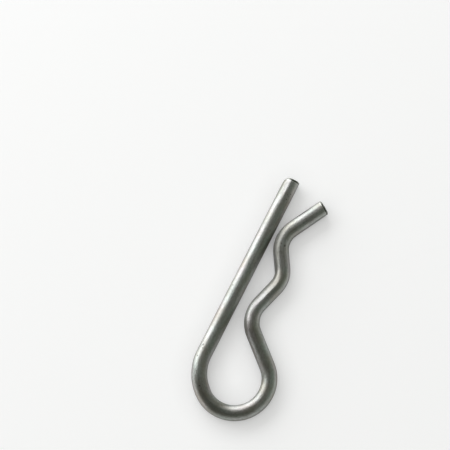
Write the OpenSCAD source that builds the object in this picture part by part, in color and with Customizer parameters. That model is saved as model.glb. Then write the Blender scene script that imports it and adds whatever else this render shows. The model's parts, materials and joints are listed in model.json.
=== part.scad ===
// Hitch pin: one length of round spring wire, bent in one plane.
// A straight leg goes through the cross hole of a shaft. A round bow joins it
// to a waved leg, which springs over the shaft and holds it in its hump.
// The pin lies flat: its wire rests on z = 0, the straight leg points along +Y,
// and the origin is below the middle of the pin's outline.

/* [Wire] */
// Diameter of the round wire
wire_d = 4; // [3:0.1:5]
// How much thinner the wire is in its bends, where bending has stretched it
bend_thinning = 0.02; // [0.01:0.01:0.06]
// Bevel around both cut ends
end_bevel = 0.45; // [0.2:0.05:0.8]

/* [Straight leg] */
// Straight length, from the cut end to the start of the bow
leg_length = 50; // [44:0.5:60]

/* [Bow] */
// Radius of the easy bend that leads from the straight leg into the bow, to the wire's centre
lead_radius = 11.6; // [10:0.1:15]
// How far that easy bend turns, in degrees
lead_turn = 45; // [30:1:65]
// Short straight between the easy bend and the bow
bow_neck = 0.5; // [0.3:0.1:2]
// Radius of the round bow, to the wire's centre
bow_radius = 8.6; // [7.6:0.1:9.8]
// Lean of the waved leg towards the straight leg where it leaves the bow, in degrees
bow_lean = 48; // [42:1:56]

/* [Waved leg] */
// Clear gap between the legs at the throat, where the bow closes in
throat_gap = 2.6; // [1.6:0.1:3.2]
// Radius of the bend at the throat, to the wire's centre
throat_radius = 7.2; // [5:0.1:9]
// Outward slope of the wire from the throat to the hump, in degrees
rise_angle = 17; // [14:1:24]
// Clear gap between the legs at the hump, where the shaft sits
seat_gap = 4.9; // [4.3:0.1:6.5]
// Radius of the hump, to the wire's centre
hump_radius = 6.2; // [4:0.1:8]
// Inward slope of the wire from the hump to the mouth, in degrees
fall_angle = 31; // [26:1:38]
// Clear gap between the legs at the mouth, the narrowest place
mouth_gap = 0.9; // [0.6:0.1:1.8]
// Radius of the bend at the mouth, to the wire's centre
mouth_radius = 7; // [4:0.1:8]
// Outward slope of the flared tip, in degrees
flare_angle = 29; // [20:1:40]
// Straight length of the flared tip, up to its cut end
tip_length = 10; // [6:0.5:14]

/* [Hidden] */
$fn = 64;

wire_r = wire_d / 2;
bent_d = wire_d - bend_thinning;
bent_r = bent_d / 2;

// How far the thinner wire of a bend reaches into the straight run at each of its ends
lap = 0.1;

// How far a bend of a given radius goes sideways and forwards while it turns by an angle
function sideways(radius, angle) = radius * (1 - cos(angle));
function forwards(radius, angle) = radius * sin(angle);

// Centre of the bow, measured from where the straight leg ends
bow_x = lead_radius - (lead_radius - bow_radius) * cos(lead_turn) + bow_neck * sin(lead_turn);
bow_y = -(lead_radius - bow_radius) * sin(lead_turn) - bow_neck * cos(lead_turn);

// Distance from the straight leg's centre to the waved leg's, at its three turning places
throat_x = wire_r + throat_gap + bent_r;
seat_x = wire_r + seat_gap + bent_r;
mouth_x = wire_r + mouth_gap + bent_r;

// How far the straight runs between the bends have to go sideways to meet those distances
throat_step = bow_x + bow_radius * cos(bow_lean) - sideways(throat_radius, bow_lean) - throat_x;
hump_step = seat_x - throat_x - sideways(throat_radius + hump_radius, rise_angle);
mouth_step = seat_x - mouth_x - sideways(hump_radius + mouth_radius, fall_angle);

// The wire from the straight leg's cut end to the flared tip's. Each step is a
// size and a turn in degrees, positive to the left: a step without a turn is a
// straight run of that length, and one with a turn is a bend of that radius.
PATH = [
    [leg_length - end_bevel, 0],
    [lead_radius, lead_turn],
    [bow_neck, 0],
    [bow_radius, 180 - lead_turn + bow_lean],
    [throat_step / sin(bow_lean), 0],
    [throat_radius, -(bow_lean + rise_angle)],
    [hump_step / sin(rise_angle), 0],
    [hump_radius, rise_angle + fall_angle],
    [mouth_step / sin(fall_angle), 0],
    [mouth_radius, -(fall_angle + flare_angle)],
    [tip_length - end_bevel, 0]
];

// Height of the throat, hump, mouth and flared tip, measured from where the straight leg ends
throat_y = bow_y + forwards(bow_radius, bow_lean) + throat_step / tan(bow_lean)
    + forwards(throat_radius, bow_lean);
hump_y = throat_y + forwards(throat_radius + hump_radius, rise_angle) + hump_step / tan(rise_angle);
mouth_y = hump_y + forwards(hump_radius + mouth_radius, fall_angle) + mouth_step / tan(fall_angle);
tip_y = mouth_y + forwards(mouth_radius + wire_r - end_bevel, flare_angle)
    + tip_length * cos(flare_angle);

// Outline of the pin, measured from where the straight leg ends
outline_left = -wire_r;
outline_right = bow_x + bow_radius + bent_r;
outline_bottom = bow_y - bow_radius - bent_r;
outline_top = max(leg_length, tip_y);

// A straight run of wire that starts at the origin and goes along +Y
module run(length) {
    rotate([-90, 0, 0])
        cylinder(h = length, d = wire_d);
}

// A bend that starts at the origin along +Y and turns left, or right if turn is negative
module bend(radius, turn) {
    side = sign(turn);
    lap_turn = side * lap / (radius * PI) * 180;
    first = turn > 0 ? 0 : 180;
    translate([-side * radius, 0, 0])
        rotate_extrude(angle = turn + 2 * lap_turn, start = first - lap_turn)
            translate([radius, 0])
                circle(d = bent_d);
}

// Moves what follows to the end of a run or a bend
module after(size, turn) {
    side = sign(turn);
    if (turn == 0)
        translate([0, size, 0])
            children();
    else
        translate([-side * size, 0, 0])
            rotate(turn)
                translate([side * size, 0, 0])
                    children();
}

// The bevelled cut end of the wire, from the origin along +Y
module cut_end() {
    rotate([-90, 0, 0])
        cylinder(h = end_bevel, r1 = wire_r, r2 = wire_r - end_bevel);
}

// The wire from one step of the path to its far end
module wire_from(step) {
    size = PATH[step][0];
    turn = PATH[step][1];
    if (turn == 0)
        run(size);
    else
        bend(size, turn);
    after(size, turn)
        if (step < len(PATH) - 1)
            wire_from(step + 1);
        else
            cut_end();
}

module hitch_pin() {
    middle_x = (outline_left + outline_right) / 2;
    middle_y = (outline_bottom + outline_top) / 2;
    color("silver")
        translate([-middle_x, leg_length - end_bevel - middle_y, wire_r])
            rotate(180) {
                wire_from(0);
                rotate(180)
                    cut_end();
            }
}

hitch_pin();
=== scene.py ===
# Hitch pin: one bent length of zinc-plated spring wire, lying flat on a pale table top.
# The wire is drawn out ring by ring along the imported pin's own path, and each point
# remembers where it was on the straight wire, so that the finish follows the bends.

import json
import math

import bmesh
import bpy
from mathutils import Matrix, Vector, noise


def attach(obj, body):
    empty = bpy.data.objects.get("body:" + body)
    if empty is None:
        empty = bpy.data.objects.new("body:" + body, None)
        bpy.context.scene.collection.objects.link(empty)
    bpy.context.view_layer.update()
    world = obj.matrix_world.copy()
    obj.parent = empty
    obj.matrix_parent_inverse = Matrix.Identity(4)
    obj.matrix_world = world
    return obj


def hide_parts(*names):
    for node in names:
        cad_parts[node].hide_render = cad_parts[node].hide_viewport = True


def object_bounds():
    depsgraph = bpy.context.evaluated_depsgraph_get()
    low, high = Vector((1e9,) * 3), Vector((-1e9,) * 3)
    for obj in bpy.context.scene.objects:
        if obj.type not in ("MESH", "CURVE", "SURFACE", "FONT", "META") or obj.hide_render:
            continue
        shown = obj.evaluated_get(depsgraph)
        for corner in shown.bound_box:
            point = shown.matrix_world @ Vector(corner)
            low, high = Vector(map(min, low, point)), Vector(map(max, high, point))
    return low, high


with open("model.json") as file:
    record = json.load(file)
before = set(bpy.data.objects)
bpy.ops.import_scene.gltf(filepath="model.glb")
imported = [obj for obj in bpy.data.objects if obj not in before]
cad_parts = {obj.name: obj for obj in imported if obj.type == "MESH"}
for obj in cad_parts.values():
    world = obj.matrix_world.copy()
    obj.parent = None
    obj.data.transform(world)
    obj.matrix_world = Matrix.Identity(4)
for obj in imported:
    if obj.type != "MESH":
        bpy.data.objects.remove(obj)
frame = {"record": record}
cad_low, cad_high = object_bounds()
leg_mount = frame["record"]["mounts"][0]

MM = 0.001


# ---------------------------------------------------------------- sizes of the bent wire

# The wire, the straight leg and its tip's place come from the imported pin, and the other sizes are
# the ones that it was cut and bent to. Radii are to the wire's centre, gaps are clear between the
# legs, and bend_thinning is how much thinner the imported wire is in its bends
wire_r = leg_mount["dims"]["r_mm"] * MM
bend_thinning = 0.02 * MM
end_bevel = 0.45 * MM
leg_length = leg_mount["dims"]["length_mm"] * MM + end_bevel
lead_radius = 11.6 * MM
lead_turn = math.radians(45)
bow_neck = 0.5 * MM
bow_radius = 8.6 * MM
bow_lean = math.radians(48)
throat_gap = 2.6 * MM
throat_radius = 7.2 * MM
rise_angle = math.radians(17)
seat_gap = 4.9 * MM
hump_radius = 6.2 * MM
fall_angle = math.radians(31)
mouth_gap = 0.9 * MM
mouth_radius = 7.0 * MM
flare_angle = math.radians(29)
tip_length = 10.0 * MM
leg_tip = Vector((leg_mount["pos_m"][0], cad_high.y, leg_mount["pos_m"][2]))

# How far back from each cut its worn edge is rounded
end_reach = 0.95 * MM


def sideways(radius, angle):
    """How far a bend goes sideways while it turns by an angle."""
    return radius * (1 - math.cos(angle))


across_pin = 2 * wire_r - bend_thinning / 2
bow_x = lead_radius - (lead_radius - bow_radius) * math.cos(lead_turn) + bow_neck * math.sin(lead_turn)
throat_x = across_pin + throat_gap
seat_x = across_pin + seat_gap
mouth_x = across_pin + mouth_gap
throat_step = bow_x + bow_radius * math.cos(bow_lean) - sideways(throat_radius, bow_lean) - throat_x
hump_step = seat_x - throat_x - sideways(throat_radius + hump_radius, rise_angle)
mouth_step = seat_x - mouth_x - sideways(hump_radius + mouth_radius, fall_angle)

# Each step is a size and a turn: a straight run's length, or a bend's radius and its turn to the left
PATH = [
    (leg_length - end_reach, 0),
    (lead_radius, lead_turn),
    (bow_neck, 0),
    (bow_radius, math.pi - lead_turn + bow_lean),
    (throat_step / math.sin(bow_lean), 0),
    (throat_radius, -(bow_lean + rise_angle)),
    (hump_step / math.sin(rise_angle), 0),
    (hump_radius, rise_angle + fall_angle),
    (mouth_step / math.sin(fall_angle), 0),
    (mouth_radius, -(fall_angle + flare_angle)),
    (tip_length - end_reach, 0),
]


# ---------------------------------------------------------------- the wire's mesh

FACETS = 72
RING_GAP = 0.5 * MM
FEWEST_BEND_RINGS = 4

# The rings at a cut end, by their distance from the cut, with one where the dark sheared band ends,
# whose darkness is partly painted shade, and the slack that tells which rings a face lies between
END_DARK = 0.62 * MM
END_RINGS = [gap * MM for gap in (0, 0.02, 0.07, 0.15, 0.27, 0.4, 0.52)]
END_RINGS += [END_DARK, 0.73 * MM, 0.84 * MM, end_reach]
RING_SLACK = 0.01 * MM

# The wire's own waviness
WAVE_ACROSS = 2.5 * MM
WAVE_ALONG = 7.0 * MM
WAVE_DEPTH = 0.02 * MM

# The inner side of a bend is pressed flat, from nothing at the first strain to its depth at the
# second. The strain builds up and dies away over EASE
EASE = 1.5 * MM
PRESS_STRAINS = (0.14, 0.3)
PRESS_DEPTH = 0.07 * MM

# Where the bending tools rubbed a faint flat on the top: its middle and reach along the wire, and its
# tilt. It is at its full depth within a third of its reach
RUBS = [(0, 9 * MM, math.radians(-18)), (107.5 * MM, 7 * MM, math.radians(17))]
RUB_SPAN = math.radians(19)

# The sheared ends: how far a burr fills the edge out, over which part of a side, and how ragged the cut is
BURR_FILL = 0.35 * MM
BURR_SIDE = (0.1, 0.8)
RAGGED = 0.14 * MM
RAGGED_GRAIN = 0.7 * MM

# The straight tip's corner is rolled in, and the flared tip's cut is slanted
ROLL_IN = 0.55 * MM
ROLL_REACH = 1.8 * MM
TIP_SLANT = 0.42 * MM
TIP_SLANT_REACH = 3.5 * MM

# How far beside the wire's own map the cut faces lie on it, in turns round the wire
CUT_MAP_SHIFT = 2


def about(centre, matrix):
    """matrix, done about centre."""
    return Matrix.Translation(centre) @ matrix @ Matrix.Translation(-centre)


def turn_towards(direction):
    """The turn that points +Z in a direction."""
    return direction.to_track_quat("Z", "Y").to_matrix().to_4x4()


def ramp(value, low, high):
    """0 below low, 1 above high, and smooth between."""
    t = min(1, max(0, (value - low) / (high - low)))
    return t * t * (3 - 2 * t)


def end_radius(distance):
    """The wire's radius near a cut end: full past end_reach, then rounding over to the cut."""
    part = min(1, max(0, 1 - distance / end_reach))
    return wire_r - end_bevel * (1 - math.sqrt(1 - part * part))


def is_cut(face):
    """True for the two cut faces, which have a whole ring of corners."""
    return len(face.verts) > 4


def add_object(name, data):
    made = bpy.data.objects.new(name, data)
    bpy.context.scene.collection.objects.link(made)
    return made


def add_mesh(name, bm):
    mesh = bpy.data.meshes.new(name)
    bm.to_mesh(mesh)
    bm.free()
    return add_object(name, mesh)


class Drawing:
    """The wire as it is drawn out: its mesh, its open end's ring, and where and which way that end faces."""

    def __init__(self, place, heading):
        self.bm = bmesh.new()
        self.straight = self.bm.verts.layers.float_vector.new("straight_wire")
        self.strain = self.bm.verts.layers.float.new("bend_strain")
        self.left = self.bm.verts.layers.float_vector.new("ring_left")
        self.place = place
        self.heading = heading
        self.length = 0.0
        self.ring = []

    def across(self):
        """The side direction to the left of the heading."""
        return Vector((-self.heading.y, self.heading.x, 0))

    def start(self, radius):
        """The first cut face. Each point keeps its place on the straight wire: to the side, along and up."""
        made = bmesh.ops.create_circle(self.bm, cap_ends=True, segments=FACETS, radius=radius)
        into_place = Matrix.Translation(self.place) @ turn_towards(self.heading)
        bmesh.ops.transform(self.bm, matrix=into_place, verts=made["verts"])
        left = self.across()
        for v in made["verts"]:
            out = v.co - self.place
            v[self.straight] = (out.dot(left), 0, out.z)
            v[self.left] = left
        self.ring = self.bm.edges[:]

    def draw(self, matrix, gain, curve):
        """One more ring, moved on by matrix. The wire grows by gain. curve is 1 over a bend's radius."""
        grown = bmesh.ops.extrude_edge_only(self.bm, edges=self.ring)["geom"]
        verts = [g for g in grown if isinstance(g, bmesh.types.BMVert)]
        fresh = set(verts)
        bmesh.ops.transform(self.bm, matrix=matrix, verts=verts)
        self.length += gain
        for v in verts:
            side, _, rise = v[self.straight]
            v[self.straight] = (side, self.length, rise)
            v[self.strain] = side * curve
            v[self.left] = matrix.to_3x3() @ v[self.left]
        self.ring = [g for g in grown if isinstance(g, bmesh.types.BMEdge) and fresh.issuperset(g.verts)]

    def run(self, length):
        count = max(1, round(length / RING_GAP))
        for _ in range(count):
            self.draw(Matrix.Translation(self.heading * length / count), length / count, 0)
        self.place = self.place + self.heading * length

    def bend(self, radius, turn):
        centre = self.place + self.across() * math.copysign(radius, turn)
        arc = abs(turn) * radius
        count = max(FEWEST_BEND_RINGS, round(arc / RING_GAP))
        step = about(centre, Matrix.Rotation(turn / count, 4, "Z"))
        for n in range(count):
            done = arc * (n + 1) / count
            eased = min(1, done / EASE, (arc - done) / EASE)
            self.draw(step, arc / count, math.copysign(eased / radius, turn))
        whole = about(centre, Matrix.Rotation(turn, 4, "Z"))
        self.place = whole @ self.place
        self.heading = whole.to_3x3() @ self.heading

    def round_end(self, gaps):
        """A cut end's worn edge, drawn through rings at gaps, their distances from the cut in turn."""
        turn = turn_towards(self.heading)
        for start, stop in zip(gaps, gaps[1:]):
            size = end_radius(stop) / end_radius(start)
            gain = abs(stop - start)
            resize = turn @ Matrix.Diagonal((size, size, 1, 1)) @ turn.inverted()
            self.draw(Matrix.Translation(self.heading * gain) @ about(self.place, resize), gain, 0)
            self.place = self.place + self.heading * gain
            for v in {v for e in self.ring for v in e.verts}:
                side, along, rise = v[self.straight]
                v[self.straight] = (side * size, along, rise * size)
                v[self.left] = self.across()


def wear_wire(wire):
    """Real wire's unevenness: draw waves, bends pressed flat inside, rubbed flats and sheared, worn ends."""
    for v in wire.bm.verts:
        side, along, rise = v[wire.straight]
        left = v[wire.left]
        forward = Vector((left.y, -left.x, 0))
        out = (left * side + Vector((0, 0, rise))) / wire_r
        wave = noise.noise(Vector((side / WAVE_ACROSS, along / WAVE_ALONG, rise / WAVE_ACROSS)))
        press = ramp(v[wire.strain], *PRESS_STRAINS)
        v.co -= out * (WAVE_DEPTH * (1 + wave) / 2 + PRESS_DEPTH * press)
        for middle, reach, tilt in RUBS:
            rub_way = left * math.sin(tilt) + Vector((0, 0, math.cos(tilt)))
            rubbed = max(0, out.dot(rub_way) - math.cos(RUB_SPAN)) * wire_r
            v.co -= rub_way * rubbed * ramp(-abs(along - middle), -reach, -reach / 3)
        ragged = (1 + noise.noise(Vector((side, along, rise)) / RAGGED_GRAIN)) / 2
        for gap, way in ((along, 1), (wire.length - along, -1)):
            cut = max(0, 1 - gap / end_bevel)
            burr = cut * ramp(way * side / wire_r, *BURR_SIDE)
            v.co += out * burr * BURR_FILL + forward * way * cut * RAGGED * ragged
        rolled = max(0, 1 - along / ROLL_REACH) ** 2 * ramp(-side / wire_r, 0, 1)
        v.co += left * ROLL_IN * rolled
        slanted = ramp(along, wire.length - TIP_SLANT_REACH, wire.length) * (1 - side / wire_r) / 2
        v.co -= forward * TIP_SLANT * slanted
    wire.bm.verts.layers.float_vector.remove(wire.left)
    wire.bm.verts.layers.float.remove(wire.strain)


def map_wire(wire):
    """The wire's own map: once round across, and the same scale along. The cut faces lie flat beside it."""
    around = 2 * math.pi * wire_r
    map_layer = wire.bm.loops.layers.uv.new("round_and_along")
    for f in wire.bm.faces:
        for loop in f.loops:
            side, along, rise = loop.vert[wire.straight]
            if is_cut(f):
                loop[map_layer].uv = (CUT_MAP_SHIFT + side / around, (along + rise) / around)
            else:
                loop[map_layer].uv = (math.atan2(rise, side) / (2 * math.pi), along / around)
        turns = [loop[map_layer].uv.x for loop in f.loops]
        crosses_seam = not is_cut(f) and max(turns) - min(turns) > 0.5
        for loop in f.loops:
            if crosses_seam and loop[map_layer].uv.x < 0:
                loop[map_layer].uv.x += 1


def make_wire():
    """The whole wire, worn and mapped, with its sheared ends in the second finish, and its length."""
    wire = Drawing(leg_tip, Vector((0, -1, 0)))
    wire.start(wire_r - end_bevel)
    wire.round_end(END_RINGS)
    for size, turn in PATH:
        if turn == 0:
            wire.run(size)
        else:
            wire.bend(size, turn)
    wire.round_end(END_RINGS[::-1])
    bm = wire.bm
    bmesh.ops.contextual_create(bm, geom=wire.ring)
    bmesh.ops.recalc_face_normals(bm, faces=bm.faces[:])
    wear_wire(wire)
    map_wire(wire)
    # Faces in the dark sheared band, darkened partly as painted shade, take the second finish
    sheared = END_DARK + RING_SLACK
    for f in bm.faces:
        reach = [v[wire.straight].y for v in f.verts]
        at_end = max(reach) <= sheared or min(reach) >= wire.length - sheared
        f.material_index = 1 if at_end else 0
        f.smooth = not is_cut(f)
    for e in bm.edges:
        e.smooth = not any(is_cut(f) for f in e.link_faces)
    return add_mesh("bent_wire", bm), wire.length


# ---------------------------------------------------------------- node tools

def node(tree, kind, **settings):
    made = tree.nodes.new(kind)
    for name, value in settings.items():
        setattr(made, name, value)
    return made


def feed(tree, socket, value):
    """Sets an input to a number or colour, or links an output to it."""
    if isinstance(value, bpy.types.NodeSocket):
        tree.links.new(value, socket)
    else:
        socket.default_value = value


def maths(tree, operation, a, b):
    made = node(tree, "ShaderNodeMath", operation=operation)
    feed(tree, made.inputs[0], a)
    feed(tree, made.inputs[1], b)
    return made.outputs[0]


def vector_maths(tree, operation, a, b=(0, 0, 0)):
    """An operation on two vectors. A length or a dot product comes out as a number."""
    made = node(tree, "ShaderNodeVectorMath", operation=operation)
    feed(tree, made.inputs[0], a)
    feed(tree, made.inputs[1], b)
    return made.outputs["Value" if operation in ("LENGTH", "DOT_PRODUCT") else "Vector"]


def weighted(tree, values, shares):
    """The sum of the values, each times its share."""
    total = maths(tree, "MULTIPLY", values[0], shares[0])
    for value, share in zip(values[1:], shares[1:]):
        total = maths(tree, "ADD", total, maths(tree, "MULTIPLY", value, share))
    return total


def spread(tree, value, low, high, to_low=0.0, to_high=1.0):
    """Spreads the part of a value from low to high over a new range."""
    made = node(tree, "ShaderNodeMapRange")
    feed(tree, made.inputs["Value"], value)
    feed(tree, made.inputs["From Min"], low)
    feed(tree, made.inputs["From Max"], high)
    feed(tree, made.inputs["To Min"], to_low)
    feed(tree, made.inputs["To Max"], to_high)
    return made.outputs["Result"]


def blend(tree, factor, a, b, way="MIX"):
    made = node(tree, "ShaderNodeMix", data_type="RGBA", blend_type=way)
    feed(tree, made.inputs["Factor"], factor)
    feed(tree, made.inputs["A"], a)
    feed(tree, made.inputs["B"], b)
    return made.outputs["Result"]


def grain(tree, where, stretch, detail, roughness):
    """A smooth random value over the wire. stretch is the grain's size across, along and up, in metres."""
    placed = node(tree, "ShaderNodeMapping")
    feed(tree, placed.inputs["Vector"], where)
    placed.inputs["Scale"].default_value = tuple(1 / s for s in stretch)
    made = node(tree, "ShaderNodeTexNoise", noise_dimensions="3D")
    made.inputs["Scale"].default_value = 1.0
    made.inputs["Detail"].default_value = detail
    made.inputs["Roughness"].default_value = roughness
    tree.links.new(placed.outputs["Vector"], made.inputs["Vector"])
    return made.outputs["Fac"]


def near(tree, where, place, reach):
    """1 close to a place on the wire and 0 past reach, both given across, along and up."""
    offset = vector_maths(tree, "SUBTRACT", where, place)
    scaled = vector_maths(tree, "DIVIDE", offset, reach)
    return spread(tree, vector_maths(tree, "LENGTH", scaled), 1.0, MARK_CORE)


def shifted(tree, where, distance):
    """The same place, shifted, so that a second pattern doesn't follow the first."""
    return vector_maths(tree, "ADD", where, (distance, distance, distance))


def raised(tree, height, depth):
    """The normals of a surface whose height, from 0 to 1, stands up by depth."""
    bump = node(tree, "ShaderNodeBump")
    bump.inputs["Strength"].default_value = 1.0
    bump.inputs["Distance"].default_value = depth
    feed(tree, bump.inputs["Height"], height)
    return bump.outputs["Normal"]


def new_finish(name):
    """A new material, with its node tree and its shader."""
    mat = bpy.data.materials.new(name)
    mat.use_nodes = True
    return mat, mat.node_tree, mat.node_tree.nodes["Principled BSDF"]


def on_straight_wire(tree):
    """Each point's place on the straight wire, whole, and its parts across, along and up as X, Y and Z."""
    where = node(tree, "ShaderNodeAttribute", attribute_name="straight_wire").outputs["Vector"]
    parts = node(tree, "ShaderNodeSeparateXYZ")
    feed(tree, parts.inputs[0], where)
    return where, parts.outputs


# ---------------------------------------------------------------- finishes

# Places on the straight wire: to the side, along it and up, and how far each mark reaches that way.
# A patch of painted shade has its strength too. A mark is at its full strength within MARK_CORE of its reach
# The patches are painted shade, which also make the wire a little rougher: at the mouth bend's outer side,
# along the outer edge from the throat to the mouth, and along one edge near the straight tip
PAINTED_SHADE_PATCHES = [
    ((1.7 * MM, 122.0 * MM, 1.2 * MM), (1.6 * MM, 5.5 * MM, 1.9 * MM), 0.85),
    ((1.47 * MM, 110.0 * MM, 1.36 * MM), (0.85 * MM, 17.0 * MM, 0.85 * MM), 0.85),
    ((-1.65 * MM, 2.0 * MM, 1.1 * MM), (0.85 * MM, 8.0 * MM, 0.85 * MM), 0.5),
]
PITS = [
    ((-1.03 * MM, 120.9 * MM, 1.71 * MM), (0.3 * MM, 0.45 * MM, 0.3 * MM)),
    ((-0.13 * MM, 121.3 * MM, 2.0 * MM), (0.22 * MM, 0.3 * MM, 0.22 * MM)),
]
MARK_CORE = 0.4

# The grain of each pattern: its size across, along and up, its detail and its roughness
CLOUD_GRAIN = ((2.2 * MM, 4.5 * MM, 2.2 * MM), 4, 0.6)
PEEL_GRAIN = ((0.35 * MM, 0.45 * MM, 0.35 * MM), 2, 0.5)
FLECK_GRAIN = ((0.42 * MM, 0.6 * MM, 0.42 * MM), 1, 0.5)
PATCH_GRAIN = ((3.0 * MM, 5.0 * MM, 3.0 * MM), 1, 0.5)
STAIN_GRAIN = ((2.6 * MM, 7.0 * MM, 2.6 * MM), 3, 0.6)
FILM_GRAIN = ((2.4 * MM, 7.0 * MM, 2.4 * MM), 2, 0.5)
FINE_LINE_GRAIN = ((0.16 * MM, 14 * MM, 0.16 * MM), 2, 0.6)
BROAD_LINE_GRAIN = ((0.55 * MM, 30 * MM, 0.55 * MM), 2, 0.5)
SHEAR_GRAIN = ((1.6 * MM, 1.6 * MM, 0.12 * MM), 3, 0.6)
STAIN_SHIFT = 40 * MM
FILM_SHIFT = 90 * MM

# The part of each grain that its mask spreads from 0 to 1
CLOUD_MASK = (0.3, 0.7)
FLECK_MASK = (0.25, 0.75)
STAIN_MASK = (0.44, 0.64)
SPECK_MASK = (1.27, 1.32)
FILM_MASK = (0.35, 0.65)

# Clean zinc from its darkest to its lightest, the thin film's two tints over it, sheared zinc, which is
# partly painted shade, and what marks them: a brown stain, grey painted shade in patches, a painted
# highlight ring by each sheared band, black specks, and black painted shade in the crease at each cut
ZINC_COLOURS = ((0.418, 0.425, 0.407, 1), (0.655, 0.663, 0.648, 1))
FILM_TINTS = ((1.0, 0.95, 0.972, 1), (0.945, 1.0, 0.972, 1))
SHEARED_ZINC_AND_SHADE = ((0.34, 0.35, 0.31, 1), (0.52, 0.53, 0.49, 1))
STAIN_BROWN = (0.44, 0.407, 0.347, 1)
PAINTED_SHADE_GREY = (0.16, 0.16, 0.14, 1)
PAINTED_RIM_HIGHLIGHT = (0.85, 0.85, 0.83, 1)
SPECK_BLACK = (0.07, 0.065, 0.055, 1)
PAINTED_CREASE_SHADE = (0.08, 0.085, 0.075, 1)
GLANCING_TINT = (0.1, 0.1, 0.1, 1)

# The wire's side: shares of fine and broad lines, of clouding, lines and grain in its tone,
# and of lines, orange peel and specks in its height
LINE_SHARES = (0.55, 0.45)
SIDE_TONE_SHARES = (0.22, 0.75, 0.25)
SIDE_TONE_RANGE = (0.41, 0.81)
SIDE_HEIGHT_SHARES = (0.9, 0.5, -0.6)
SIDE_HEIGHT = 0.012 * MM
SIDE_SPECKS = 0.87
SIDE_SPECK_STRENGTH = 0.75
STAIN_STRENGTH = 0.6
MARK_ROUGHNESS = 0.2
# The width of the painted highlight ring beside each sheared band
RIM_HIGHLIGHT_WIDTH = 0.3 * MM

# The cut ends: shares of clouding and shear marks in their tone, and of shear marks and
# orange peel in their height
END_TONE_SHARES = (0.5, 0.5)
END_TONE_RANGE = (0.3, 0.7)
END_HEIGHT_SHARES = (1.2, 0.8)
END_HEIGHT = 0.02 * MM
END_SPECKS = 1.0
END_SPECK_STRENGTH = 0.8
# How wide and how strong the painted shade in the crease at each cut's rim is
CREASE_SHADE_WIDTH = 0.12 * MM
CREASE_SHADE_STRENGTH = 0.75
# The two ends are sheared from opposite sides, and the painted shade in the crease lies on the sheared side:
# the side changes over between two places along the wire
SHEAR_FLIP = (50 * MM, 60 * MM)
SHEARED_SIDE = (-1.3 * MM, -0.5 * MM)

# How one pattern sets another: a range of the first, then what that range becomes
LINES_TO_ROUGHNESS = (0.35, 0.65, 0.32, 0.4)
LINES_TO_PAINTED_SHADE = (0.2, 0.6, 0.6, 1.0)
GRAIN_TO_RIM_HIGHLIGHT = (0.2, 0.8, 0.3, 0.9)
GRAIN_TO_CREASE_SHADE = (0.1, 0.5, 0.6, 1.0)
SHEAR_TO_ROUGHNESS = (0.3, 0.7, 0.34, 0.5)


def make_plating():
    """The zinc skin that the side and the cut ends share: clouding, stains, specks, film and orange peel."""
    tree = bpy.data.node_groups.new("zinc_skin", "ShaderNodeTree")
    tree.interface.new_socket("Where", in_out="INPUT", socket_type="NodeSocketVector")
    tree.interface.new_socket("Specks", in_out="INPUT", socket_type="NodeSocketFloat")
    for name in ("Cloud", "Grain", "Stain", "Speck", "Height"):
        tree.interface.new_socket(name, in_out="OUTPUT", socket_type="NodeSocketFloat")
    tree.interface.new_socket("Film", in_out="OUTPUT", socket_type="NodeSocketColor")
    enter = node(tree, "NodeGroupInput")
    leave = node(tree, "NodeGroupOutput")
    where = enter.outputs["Where"]
    cloud = grain(tree, where, *CLOUD_GRAIN)
    peel = grain(tree, where, *PEEL_GRAIN)
    fleck = grain(tree, where, *FLECK_GRAIN)
    patch = grain(tree, where, *PATCH_GRAIN)
    stain = grain(tree, shifted(tree, where, STAIN_SHIFT), *STAIN_GRAIN)
    film = grain(tree, shifted(tree, where, FILM_SHIFT), *FILM_GRAIN)
    dotted = maths(tree, "ADD", fleck, maths(tree, "MULTIPLY", patch, enter.outputs["Specks"]))
    feed(tree, leave.inputs["Cloud"], spread(tree, cloud, *CLOUD_MASK))
    feed(tree, leave.inputs["Grain"], spread(tree, fleck, *FLECK_MASK))
    feed(tree, leave.inputs["Stain"], spread(tree, stain, *STAIN_MASK))
    feed(tree, leave.inputs["Speck"], spread(tree, dotted, *SPECK_MASK))
    feed(tree, leave.inputs["Film"], blend(tree, spread(tree, film, *FILM_MASK), *FILM_TINTS))
    feed(tree, leave.inputs["Height"], peel)
    return tree


def plated(tree, where, plating, specks):
    """The zinc skin's patterns at a place. More specks show where specks is higher."""
    made = node(tree, "ShaderNodeGroup", node_tree=plating)
    feed(tree, made.inputs["Where"], where)
    feed(tree, made.inputs["Specks"], specks)
    return made.outputs


def painted_shade(tree, where, lines):
    """Patches of painted shade on the wire, broken up by the die lines."""
    painted_shade_mask = 0.0
    for place, reach, strength in PAINTED_SHADE_PATCHES:
        mark = maths(tree, "MULTIPLY", near(tree, where, place, reach), strength)
        painted_shade_mask = maths(tree, "MAXIMUM", painted_shade_mask, mark)
    return maths(tree, "MULTIPLY", painted_shade_mask, spread(tree, lines, *LINES_TO_PAINTED_SHADE))


def painted_rim_highlights(tree, along, grain_mask, whole_length):
    """A painted highlight: the bright ring beside each sheared band, broken up by the grain."""
    inner = END_DARK + RIM_HIGHLIGHT_WIDTH
    at_start = spread(tree, along, inner, END_DARK)
    at_tip = spread(tree, along, whole_length - inner, whole_length - END_DARK)
    edge = maths(tree, "MAXIMUM", at_start, at_tip)
    return maths(tree, "MULTIPLY", edge, spread(tree, grain_mask, *GRAIN_TO_RIM_HIGHLIGHT))


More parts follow.
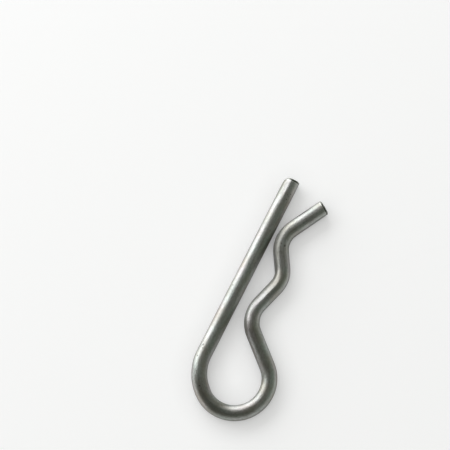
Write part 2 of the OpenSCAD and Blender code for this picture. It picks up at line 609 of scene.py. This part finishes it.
def make_side_finish(plating, whole_length):
    """Zinc-plated drawn wire: die lines and a thin tinted film, stains, specks, patches of painted shade and
    a painted highlight ring by each sheared band.
    """
    mat, tree, shader = new_finish("zinc_plate")
    where, parts = on_straight_wire(tree)
    skin = plated(tree, where, plating, SIDE_SPECKS)
    fine_lines = grain(tree, where, *FINE_LINE_GRAIN)
    broad_lines = grain(tree, where, *BROAD_LINE_GRAIN)
    lines = weighted(tree, (fine_lines, broad_lines), LINE_SHARES)
    # The patches of painted shade
    painted_shade_mask = painted_shade(tree, where, lines)
    speck = skin["Speck"]
    for place, reach in PITS:
        speck = maths(tree, "MAXIMUM", speck, near(tree, where, place, reach))

    tone = weighted(tree, (skin["Cloud"], lines, skin["Grain"]), SIDE_TONE_SHARES)
    colour = blend(tree, spread(tree, tone, *SIDE_TONE_RANGE), *ZINC_COLOURS)
    colour = blend(tree, 1.0, colour, skin["Film"], "MULTIPLY")
    colour = blend(tree, maths(tree, "MULTIPLY", skin["Stain"], STAIN_STRENGTH), colour, STAIN_BROWN)
    # Painted shade: the patches darken the colour towards grey
    colour = blend(tree, painted_shade_mask, colour, PAINTED_SHADE_GREY)
    # A painted highlight: a bright ring beside each sheared band
    colour = blend(tree, painted_rim_highlights(tree, parts["Y"], skin["Grain"], whole_length), colour, PAINTED_RIM_HIGHLIGHT)
    colour = blend(tree, maths(tree, "MULTIPLY", speck, SIDE_SPECK_STRENGTH), colour, SPECK_BLACK)

    marks = maths(tree, "MULTIPLY", maths(tree, "ADD", speck, painted_shade_mask), MARK_ROUGHNESS)
    rough = maths(tree, "ADD", spread(tree, lines, *LINES_TO_ROUGHNESS), marks)
    height = weighted(tree, (lines, skin["Height"], speck), SIDE_HEIGHT_SHARES)
    round_way = node(tree, "ShaderNodeTangent", direction_type="UV_MAP", uv_map="round_and_along")
    feed(tree, shader.inputs["Base Color"], colour)
    feed(tree, shader.inputs["Roughness"], rough)
    feed(tree, shader.inputs["Normal"], raised(tree, height, SIDE_HEIGHT))
    feed(tree, shader.inputs["Tangent"], round_way.outputs["Tangent"])
    shader.inputs["Metallic"].default_value = 1.0
    shader.inputs["Specular Tint"].default_value = GLANCING_TINT
    shader.inputs["Anisotropic"].default_value = 0.8
    return mat


def painted_crease_shade(tree, where, parts, grain_mask):
    """Painted shade in the crease round a cut end's rim, on the side where the wire was sheared."""
    rim = wire_r - end_bevel
    radius = vector_maths(tree, "LENGTH", vector_maths(tree, "MULTIPLY", where, (1, 0, 1)))
    crease_shade = spread(tree, radius, rim, rim + CREASE_SHADE_WIDTH)
    crease_shade = maths(tree, "MULTIPLY", crease_shade, spread(tree, grain_mask, *GRAIN_TO_CREASE_SHADE))
    flip = spread(tree, parts["Y"], *SHEAR_FLIP, 1.0, -1.0)
    sheared = maths(tree, "MULTIPLY", parts["X"], flip)
    return maths(tree, "MULTIPLY", crease_shade, spread(tree, sheared, *SHEARED_SIDE))


def make_end_finish(plating):
    """The sheared ends, plated over: duller and darker, partly as painted shade, with the shear's marks
    straight across and painted shade in the crease at the rim.
    """
    mat, tree, shader = new_finish("zinc_cut_end")
    where, parts = on_straight_wire(tree)
    skin = plated(tree, where, plating, END_SPECKS)
    shear = grain(tree, where, *SHEAR_GRAIN)
    crease_shade = painted_crease_shade(tree, where, parts, skin["Grain"])

    tone = weighted(tree, (skin["Cloud"], shear), END_TONE_SHARES)
    # Sheared zinc, duller and darkened partly as painted shade
    colour = blend(tree, spread(tree, tone, *END_TONE_RANGE), *SHEARED_ZINC_AND_SHADE)
    # Painted shade in the crease round the cut's rim
    colour = blend(tree, maths(tree, "MULTIPLY", crease_shade, CREASE_SHADE_STRENGTH), colour, PAINTED_CREASE_SHADE)
    colour = blend(tree, maths(tree, "MULTIPLY", skin["Speck"], END_SPECK_STRENGTH), colour, SPECK_BLACK)

    height = weighted(tree, (shear, skin["Height"]), END_HEIGHT_SHARES)
    feed(tree, shader.inputs["Base Color"], colour)
    feed(tree, shader.inputs["Roughness"], spread(tree, shear, *SHEAR_TO_ROUGHNESS))
    feed(tree, shader.inputs["Normal"], raised(tree, height, END_HEIGHT))
    shader.inputs["Metallic"].default_value = 1.0
    return mat


# ---------------------------------------------------------------- the pin

wire, wire_length = make_wire()
plating = make_plating()
wire.data.materials.append(make_side_finish(plating, wire_length))
wire.data.materials.append(make_end_finish(plating))
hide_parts("hitch_pin")
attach(wire, "root")


# ---------------------------------------------------------------- table, camera and lights

# The table top: half its width, its own grey, and how far its look is lifted towards white
TABLE_HALF = 12.0
TABLE_GREY = (0.55, 0.55, 0.55, 1)
TABLE_LIFT = 0.66
# The pin shades that lift. For the camera it follows the share of open air above the table, and for
# the metal the share that is open towards the window, each within a reach and raised to a power
OPEN_AIR_REACH = 6 * MM
OPEN_AIR_POWER = 0.5
LIT_SIDE_REACH = 12 * MM
LIT_SIDE_POWER = 1.5

# Which way the camera's back and top point, where it stands, and its lens and sensor in millimetres
CAMERA_BACK = Vector((0.20278, -0.20312, 0.95793)).normalized()
CAMERA_UP = Vector((-0.41148, 0.87001, 0.27158)).normalized()
CAMERA_PLACE = Vector((0.073477, -0.079681, 0.441439))
CAMERA_LENS = 144
CAMERA_SENSOR = 36

# Directions are a compass angle, from +X towards +Y, and a height above the table, both in degrees
WINDOW = (152, 25)
FRONT_FILL = (-140, 7)
# Each soft box has its direction, its distance, its width and height, and its radiance
SOFTBOXES = {
    "window_side_box": (WINDOW, 0.8, (1.14, 0.72), 2.8),
    "front_fill_box": (FRONT_FILL, 0.8, (0.7, 0.2), 1.5),
}
COOL_WHITE = (0.972, 0.985, 1.0)

# The room is darkest in one direction and warmest in another, and changes over how squarely it faces them
ROOM_DARK = (-125, 65)
ROOM_DARK_RANGE = (0.1, 1.0)
ROOM_WALLS = 0.2
ROOM_TOP = 0.055
ROOM_WARM = (-150, 0)
ROOM_WARM_RANGE = (-0.5, 0.5)
ROOM_GREEN_TINT = (0.97, 1.07, 0.9, 1)
ROOM_WARM_TINT = (1.1, 1.04, 0.87, 1)


def pointing(compass, height):
    """A direction, from its compass angle and its height above the table in degrees."""
    c = math.radians(compass)
    h = math.radians(height)
    return Vector((math.cos(c) * math.cos(h), math.sin(c) * math.cos(h), math.sin(h)))


def facing(tree, direction, target):
    """How squarely a direction faces a target, given as its compass angle and height: 1 straight at it."""
    return vector_maths(tree, "DOT_PRODUCT", direction, pointing(*target))


def make_table_finish():
    """A matt white table top. What the camera and shiny surfaces see of it is lifted to a pale white."""
    mat, tree, shader = new_finish("pale_table")
    path = node(tree, "ShaderNodeLightPath")
    seen = maths(tree, "MAXIMUM", path.outputs["Is Camera Ray"], path.outputs["Is Glossy Ray"])
    seen = maths(tree, "MAXIMUM", seen, path.outputs["Is Transmission Ray"])
    open_air = node(tree, "ShaderNodeAmbientOcclusion", samples=8)
    open_air.inputs["Distance"].default_value = OPEN_AIR_REACH
    window_way = node(tree, "ShaderNodeCombineXYZ")
    for axis, part in enumerate(pointing(*WINDOW)):
        window_way.inputs[axis].default_value = part
    lit_side = node(tree, "ShaderNodeAmbientOcclusion", samples=16)
    lit_side.inputs["Distance"].default_value = LIT_SIDE_REACH
    feed(tree, lit_side.inputs["Normal"], window_way.outputs["Vector"])
    from_above = maths(tree, "POWER", open_air.outputs["AO"], OPEN_AIR_POWER)
    from_metal = maths(tree, "POWER", lit_side.outputs["AO"], LIT_SIDE_POWER)
    open_part = spread(tree, path.outputs["Is Camera Ray"], 0.0, 1.0, from_metal, from_above)
    lift = maths(tree, "MULTIPLY", open_part, TABLE_LIFT)
    feed(tree, shader.inputs["Emission Strength"], maths(tree, "MULTIPLY", seen, lift))
    shader.inputs["Emission Color"].default_value = (1, 1, 1, 1)
    shader.inputs["Base Color"].default_value = TABLE_GREY
    shader.inputs["Roughness"].default_value = 0.9
    shader.inputs["Specular IOR Level"].default_value = 0.1
    return mat


def make_table():
    bm = bmesh.new()
    bmesh.ops.create_grid(bm, x_segments=1, y_segments=1, size=TABLE_HALF)
    table = add_mesh("table_top", bm)
    table.data.materials.append(make_table_finish())


def make_camera():
    data = bpy.data.cameras.new("camera")
    data.lens = CAMERA_LENS
    data.sensor_width = CAMERA_SENSOR
    camera = add_object("camera", data)
    right = CAMERA_UP.cross(CAMERA_BACK)
    turn = Matrix((right, CAMERA_UP, CAMERA_BACK)).transposed().to_4x4()
    camera.matrix_world = Matrix.Translation(CAMERA_PLACE) @ turn
    bpy.context.scene.camera = camera


def make_softbox(name, compass_and_height, distance, size, radiance):
    """A soft box that faces the pin from a direction."""
    direction = pointing(*compass_and_height)
    width, tall = size
    data = bpy.data.lights.new(name, "AREA")
    data.shape = "RECTANGLE"
    data.size = width
    data.size_y = tall
    data.energy = radiance * math.pi * width * tall
    data.color = COOL_WHITE
    lamp = add_object(name, data)
    lamp.matrix_world = Matrix.Translation(direction * distance) @ turn_towards(direction)


def make_room():
    """A dim room: darkest high up in front, lighter and greener towards the back, warmer to the left."""
    world = bpy.data.worlds.new("room")
    world.use_nodes = True
    tree = world.node_tree
    sky = node(tree, "ShaderNodeTexCoord").outputs["Generated"]
    dark = facing(tree, sky, ROOM_DARK)
    warm = facing(tree, sky, ROOM_WARM)
    strength = spread(tree, dark, *ROOM_DARK_RANGE, ROOM_WALLS, ROOM_TOP)
    colour = blend(tree, spread(tree, warm, *ROOM_WARM_RANGE), ROOM_GREEN_TINT, ROOM_WARM_TINT)
    feed(tree, tree.nodes["Background"].inputs["Strength"], strength)
    feed(tree, tree.nodes["Background"].inputs["Color"], colour)
    bpy.context.scene.world = world


make_table()
make_camera()
for name, box in SOFTBOXES.items():
    make_softbox(name, *box)
make_room()
bpy.context.scene.view_settings.view_transform = "Standard"
